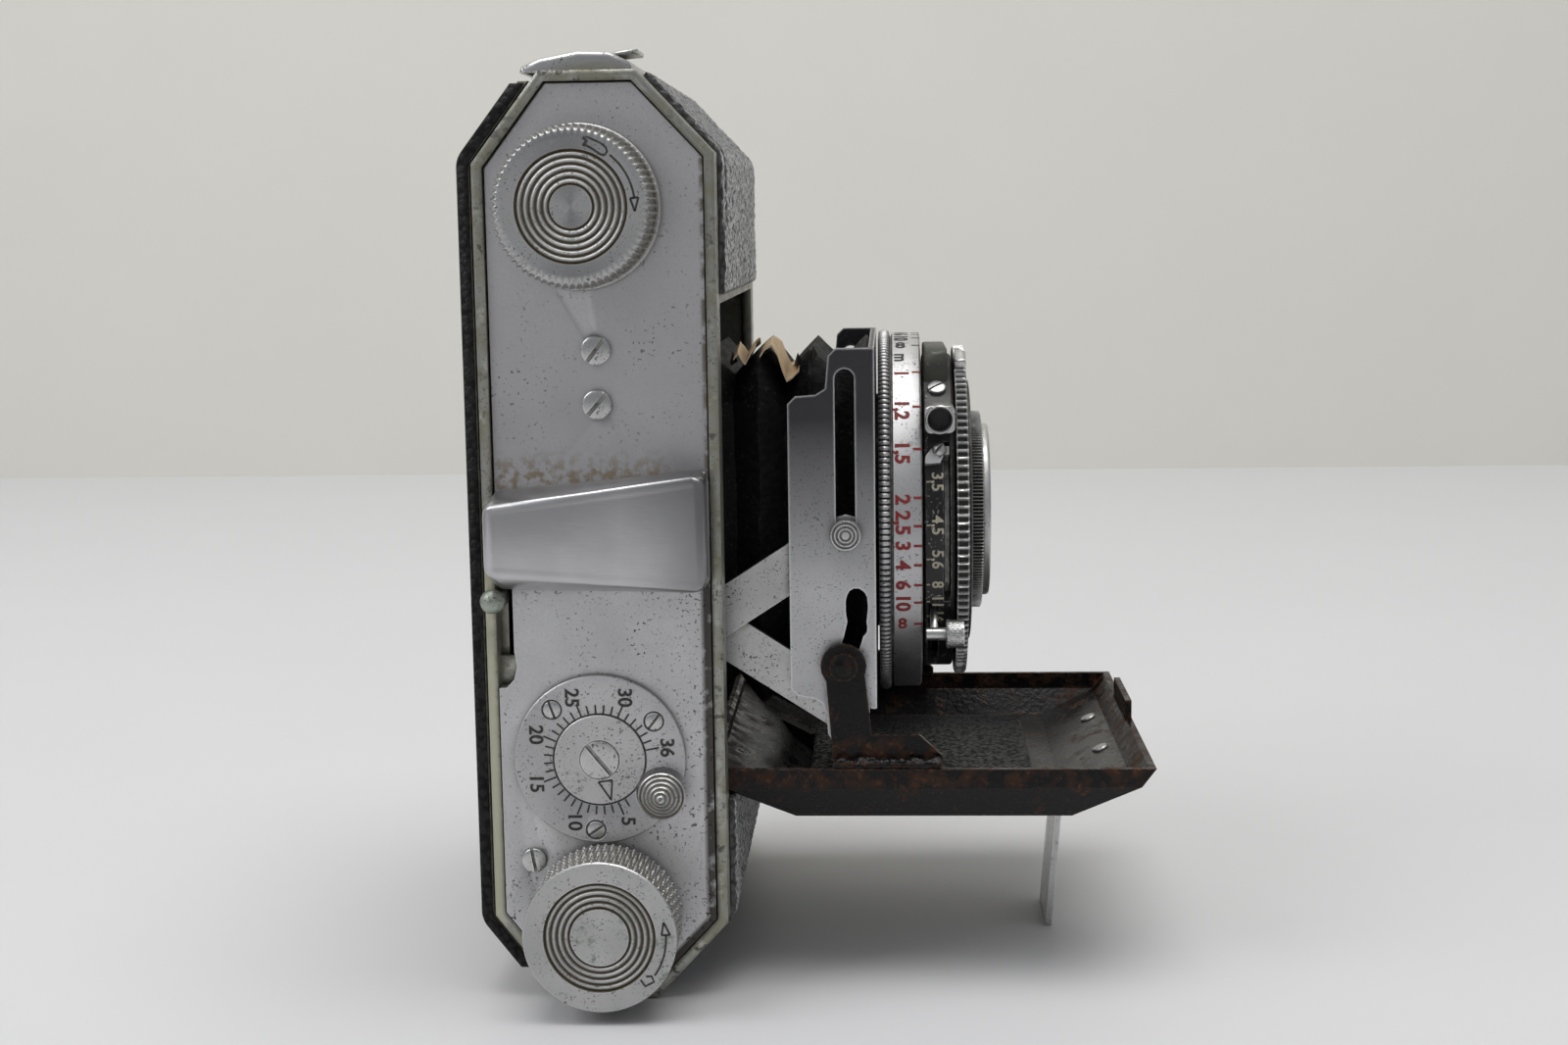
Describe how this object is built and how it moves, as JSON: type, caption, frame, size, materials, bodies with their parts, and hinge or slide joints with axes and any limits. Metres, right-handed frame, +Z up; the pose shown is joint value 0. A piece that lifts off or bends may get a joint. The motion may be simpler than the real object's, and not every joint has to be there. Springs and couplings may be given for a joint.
{
  "type": "folding camera",
  "caption": "Folding 35 mm camera with its bed, struts and bellows open, standing on one end of its body.",
  "frame": {"origin": "on the flat end of the body that it stands on, under the middle of that end face and in the plane that holds the optical axis", "axes": "+Z up along the body's length, +X the way the lens looks, -Y out of the top plate with the knobs"},
  "size_m": [0.0896, 0.0863, 0.1243],
  "materials": {
    "nickel": "tarnished nickel plate on a die-cast body",
    "satin": "satin, pitted and grimy",
    "knob": "turned and knurled, dull",
    "steel": "nickelled steel, pitted",
    "brass": "aged",
    "black": "black enamel, worn at the edges",
    "rusty": "black enamel, rusting",
    "leather": "black pebbled leather",
    "bellows": "black bellows leather over tan lining",
    "glass": "coated optical glass"
  },
  "bodies": {
    "camera_body": {"body_shell": "nickel", "top_plate": "satin", "counter_cover": "satin", "finder_housing": "satin", "finder_front_glass": "glass", "finder_eyepiece": "black", "blank_screw_upper": "steel", "blank_screw_lower": "steel", "cover_screw": "steel", "bottom_plate": "satin", "tripod_bush": "steel", "front_leather_upper": "leather", "front_leather_lower": "leather", "film_gate": "black", "back_hinge_pin": "steel", "bed_hinge_pin": "steel", "counter_scale": "satin", "counter_screw_a": "steel", "counter_screw_b": "steel", "counter_screw_c": "steel", "bellows": "bellows"},
    "bed": {"bed_shell": "rusty", "bed_bracket_near": "rusty", "bed_bracket_far": "rusty"},
    "foot": {"bed_foot": "steel"},
    "standard": {"standard_frame": "steel"},
    "strut_a_near": {"strut_a_near": "steel"},
    "strut_a_far": {"strut_a_far": "steel"},
    "strut_b_near": {"strut_b_near": "steel"},
    "strut_b_far": {"strut_b_far": "steel"},
    "slider_near": {"strut_slider_near": "steel"},
    "slider_far": {"strut_slider_far": "steel"},
    "button_near": {"strut_button_near": "steel"},
    "button_far": {"strut_button_far": "steel"},
    "focus_ring": {"focus_ring": "steel"},
    "shutter": {"shutter_housing": "black", "cable_socket": "steel", "front_cell": "knob", "front_glass": "glass", "rear_cell": "black", "shutter_blades": "black"},
    "speed_ring": {"speed_ring": "knob"},
    "aperture_lever": {"aperture_lever": "steel"},
    "cocking_lever": {"cocking_lever": "steel"},
    "rewind_sleeve": {"rewind_sleeve": "brass"},
    "rewind_knob": {"rewind_knob": "knob", "rewind_fork": "steel"},
    "wind_knob": {"wind_knob": "knob", "take_up_spool": "black"},
    "sprocket": {"sprocket": "steel"},
    "counter_disc": {"counter_disc": "satin", "counter_centre_screw": "steel"},
    "release_button": {"release_button": "steel"},
    "advance_release": {"advance_release": "steel"},
    "bed_release": {"bed_release": "steel"},
    "back": {"back_cover": "nickel", "back_leather": "leather", "pressure_plate": "black", "pressure_spring": "steel"},
    "back_latch": {"back_latch": "nickel"}
  },
  "joints": [
    {"name": "bed_fold", "type": "hinge", "parent": "camera_body", "child": "bed", "pos_m": [0.0135, 0, 0.03], "axis": [0, -1, 0], "range_deg": [0, 90], "stiffness_Nm_per_rad": 0.05, "springref_deg": -45.84},
    {"name": "foot_fold", "type": "hinge", "parent": "bed", "child": "foot", "pos_m": [0.062, 0, 0.0213], "axis": [0, 1, 0], "range_deg": [0, 84]},
    {"name": "standard_slide", "type": "slide", "parent": "camera_body", "child": "standard", "axis": [-1, 0, 0], "range_m": [0, 0.033], "deforming": ["bellows"]},
    {"name": "strut_a_near_turn", "type": "hinge", "parent": "camera_body", "child": "strut_a_near", "pos_m": [-0.0064, -0.0257, 0.0361], "axis": [0, -1, 0], "range_deg": [0, 50.65]},
    {"name": "strut_a_far_turn", "type": "hinge", "parent": "camera_body", "child": "strut_a_far", "pos_m": [-0.0064, 0.0257, 0.0361], "axis": [0, -1, 0], "range_deg": [0, 50.65]},
    {"name": "strut_b_near_turn", "type": "hinge", "parent": "standard", "child": "strut_b_near", "pos_m": [0.03185, -0.0245, 0.0361], "axis": [0, -1, 0], "range_deg": [-50.65, 0]},
    {"name": "strut_b_far_turn", "type": "hinge", "parent": "standard", "child": "strut_b_far", "pos_m": [0.03185, 0.0245, 0.0361], "axis": [0, -1, 0], "range_deg": [-50.65, 0]},
    {"name": "slider_near_rise", "type": "slide", "parent": "standard", "child": "slider_near", "axis": [0, 0, 1], "range_m": [0, 0.02065]},
    {"name": "slider_far_rise", "type": "slide", "parent": "standard", "child": "slider_far", "axis": [0, 0, 1], "range_m": [0, 0.02065]},
    {"name": "button_near_press", "type": "slide", "parent": "slider_near", "child": "button_near", "axis": [0, 1, 0], "range_m": [0, 0.0005]},
    {"name": "button_far_press", "type": "slide", "parent": "slider_far", "child": "button_far", "axis": [0, -1, 0], "range_m": [0, 0.0005]},
    {"name": "focus_turn", "type": "hinge", "parent": "standard", "child": "focus_ring", "pos_m": [0, 0, 0.0603], "axis": [1, 0, 0], "range_deg": [-88, 0]},
    {"name": "lens_extension", "type": "slide", "parent": "standard", "child": "shutter", "axis": [1, 0, 0], "range_m": [0, 0.00265]},
    {"name": "speed_turn", "type": "hinge", "parent": "shutter", "child": "speed_ring", "pos_m": [0, 0, 0.0603], "axis": [1, 0, 0], "range_deg": [0, 75]},
    {"name": "aperture_turn", "type": "hinge", "parent": "shutter", "child": "aperture_lever", "pos_m": [0, 0, 0.0603], "axis": [1, 0, 0], "range_deg": [0, 50]},
    {"name": "cocking_turn", "type": "hinge", "parent": "shutter", "child": "cocking_lever", "pos_m": [0, 0, 0.0603], "axis": [1, 0, 0], "range_deg": [0, 36]},
    {"name": "rewind_pull", "type": "slide", "parent": "camera_body", "child": "rewind_sleeve", "axis": [0, -1, 0], "range_m": [0, 0.007]},
    {"name": "rewind_spin", "type": "hinge", "parent": "rewind_sleeve", "child": "rewind_knob", "pos_m": [-0.0011, -0.0369, 0.104], "axis": [0, -1, 0], "continuous": true},
    {"name": "wind_spin", "type": "hinge", "parent": "camera_body", "child": "wind_knob", "pos_m": [0.0003, -0.0369, 0.0117], "axis": [0, -1, 0], "continuous": true},
    {"name": "sprocket_spin", "type": "hinge", "parent": "camera_body", "child": "sprocket", "pos_m": [-0.0055, 0, 0.03], "axis": [0, -1, 0], "continuous": true},
    {"name": "counter_spin", "type": "hinge", "parent": "camera_body", "child": "counter_disc", "pos_m": [-0.0003, -0.0369, 0.03275], "axis": [0, -1, 0], "continuous": true},
    {"name": "release_press", "type": "slide", "parent": "camera_body", "child": "release_button", "axis": [0, 1, 0], "range_m": [0, 0.0014]},
    {"name": "advance_release_slide", "type": "slide", "parent": "camera_body", "child": "advance_release", "axis": [0, 0, -1], "range_m": [0, 0.006], "stiffness_N_per_m": 20, "springref_m": -0.003},
    {"name": "bed_release_press", "type": "slide", "parent": "camera_body", "child": "bed_release", "axis": [0, -1, 0], "range_m": [0, 0.0015]},
    {"name": "back_hinge", "type": "hinge", "parent": "camera_body", "child": "back", "pos_m": [-0.0093, 0, 0.0021], "axis": [0, -1, 0], "range_deg": [0, 100]},
    {"name": "latch_turn", "type": "hinge", "parent": "back", "child": "back_latch", "pos_m": [-0.0093, 0, 0.1198], "axis": [0, -1, 0], "range_deg": [0, 60]}
  ],
  "couplings": [
    {"joint": "standard_slide", "follows": "bed_fold", "m_per_rad": 0.021},
    {"joint": "strut_a_near_turn", "follows": "bed_fold", "ratio": 0.56222},
    {"joint": "strut_a_far_turn", "follows": "bed_fold", "ratio": 0.56222},
    {"joint": "strut_b_near_turn", "follows": "bed_fold", "ratio": -0.56222},
    {"joint": "strut_b_far_turn", "follows": "bed_fold", "ratio": -0.56222},
    {"joint": "slider_near_rise", "follows": "bed_fold", "m_per_rad": 0.013114},
    {"joint": "slider_far_rise", "follows": "bed_fold", "m_per_rad": 0.013114},
    {"joint": "lens_extension", "follows": "focus_turn", "m_per_rad": -0.001693},
    {"joint": "sprocket_spin", "follows": "wind_spin", "ratio": 1},
    {"joint": "counter_spin", "follows": "wind_spin", "ratio": 0.025}
  ]
}
